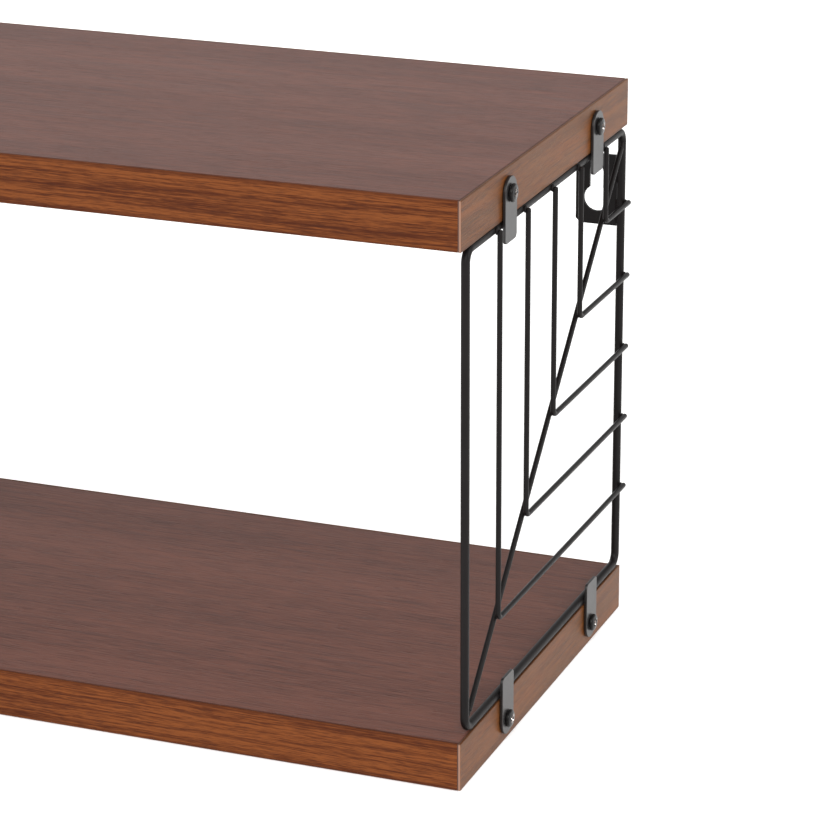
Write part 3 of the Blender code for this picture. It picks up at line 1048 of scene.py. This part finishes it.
def add_light(name, looks):
    """A wide soft light from far away, with its settings."""
    azimuth, elevation, spread, strength, colour = (
        getattr(looks, f"{name}_{part}") for part in ("azimuth", "elevation", "spread", "strength", "colour"))
    lamp = bpy.data.lights.new(f"{name}_light", "SUN")
    lamp.angle = spread
    lamp.energy = strength
    lamp.color = colour
    light = bpy.data.objects.new(f"{name}_light", lamp)
    flat = math.cos(elevation)
    way = Vector((math.sin(azimuth) * flat, -math.cos(azimuth) * flat, math.sin(elevation)))
    light.location = way * LIGHT_DISTANCE
    light.rotation_euler = way.to_track_quat("Z", "Y").to_euler()
    bpy.context.scene.collection.objects.link(light)


def add_floor(looks):
    """The pale floor that the shelf stands on."""
    form = bmesh.new()
    bmesh.ops.create_grid(form, x_segments=8, y_segments=8, size=looks.floor_width / 2)
    for vert in form.verts:
        vert.co.z = -looks.floor_drop
    floor = bpy.data.objects.new("studio_floor", mesh_from("studio_floor", form))
    colour = opaque(looks.floor_colour)
    finish = Finish("studio_floor", Roughness=0.9, Specular_IOR_Level=0.1)
    finish.shade(Base_Color=colour, Emission_Color=colour, Emission_Strength=looks.floor_glow)
    floor.data.materials.append(finish.material)
    bpy.context.scene.collection.objects.link(floor)


def add_surroundings(looks):
    """White surroundings that are brighter near the horizon."""
    world = bpy.data.worlds.new("studio")
    world.use_nodes = True
    nodes = Nodes(world.node_tree)
    way = nodes.add("ShaderNodeTexCoord", output="Generated")
    height = nodes.add("ShaderNodeSeparateXYZ", {}, {0: way}, output=Z)
    low = 1 - nodes.step(height, 0.0, 0.6)
    surroundings = world.node_tree.nodes["Background"]
    nodes.feed(surroundings.inputs["Color"], (1.0, 1.0, 1.0, 1.0))
    strength = looks.sky_strength + low * (looks.horizon_strength - looks.sky_strength)
    nodes.feed(surroundings.inputs["Strength"], strength)
    bpy.context.scene.world = world


def add_camera(looks):
    """The camera, at the front right and above."""
    lens = bpy.data.cameras.new("camera")
    lens.lens = looks.lens
    lens.sensor_width = SENSOR_WIDTH
    camera = bpy.data.objects.new("camera", lens)
    place, aim = Vector(looks.camera_place), Vector(looks.camera_target)
    turn = (aim - place).to_track_quat("-Z", "Y").to_matrix().to_4x4()
    camera.matrix_world = Matrix.Translation(place) @ turn @ Matrix.Rotation(looks.camera_roll, 4, "Z")
    bpy.context.scene.collection.objects.link(camera)
    bpy.context.scene.camera = camera


class SHELF_OT_stage(bpy.types.Operator):
    """Lay the pale floor, and place the soft lights and the camera"""

    bl_idname = "wall_shelf.stage"
    bl_label = "Stage"

    def execute(self, context):
        looks = context.scene.shelf_stage
        context.scene.view_settings.view_transform = "Standard"
        add_floor(looks)
        add_surroundings(looks)
        for name in LIGHTS:
            add_light(name, looks)
        add_camera(looks)
        return {"FINISHED"}


class SHELF_PT_panel(bpy.types.Panel):
    """The shelf's pieces, in the order they are built, with their sizes and colours"""

    bl_idname = "SHELF_PT_panel"
    bl_label = "Wall Shelf"
    bl_space_type = "VIEW_3D"
    bl_region_type = "UI"
    bl_category = "Wall Shelf"

    def draw(self, context):
        layout = self.layout
        for operator in BUILD_ORDER:
            layout.operator(operator.bl_idname)
        for group, kind in SETTINGS.items():
            box = layout.box()
            box.label(text=kind.__doc__.rstrip("."))
            settings = getattr(context.scene, group)
            for name in kind.__annotations__:
                box.prop(settings, name)


BUILD_ORDER = (
    SHELF_OT_coating,
    SHELF_OT_boards,
    SHELF_OT_loops,
    SHELF_OT_diagonals,
    SHELF_OT_bent_wires,
    SHELF_OT_welds,
    SHELF_OT_tabs,
    SHELF_OT_hangers,
    SHELF_OT_screws,
    SHELF_OT_stage,
)
SETTINGS = {
    "shelf_boards": BoardLooks,
    "shelf_wires": WireSizes,
    "shelf_steel": SteelLooks,
    "shelf_plates": PlateSizes,
    "shelf_stage": StageLooks,
}


def register():
    for kind in (*SETTINGS.values(), *BUILD_ORDER, SHELF_PT_panel):
        bpy.utils.register_class(kind)
    for group, kind in SETTINGS.items():
        setattr(bpy.types.Scene, group, bpy.props.PointerProperty(type=kind))


def unregister():
    for group in SETTINGS:
        delattr(bpy.types.Scene, group)
    for kind in reversed((*SETTINGS.values(), *BUILD_ORDER, SHELF_PT_panel)):
        bpy.utils.unregister_class(kind)


def main():
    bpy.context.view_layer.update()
    register()
    for operator in BUILD_ORDER:
        group, name = operator.bl_idname.split(".")
        getattr(getattr(bpy.ops, group), name)()


if __name__ == "__main__":
    main()
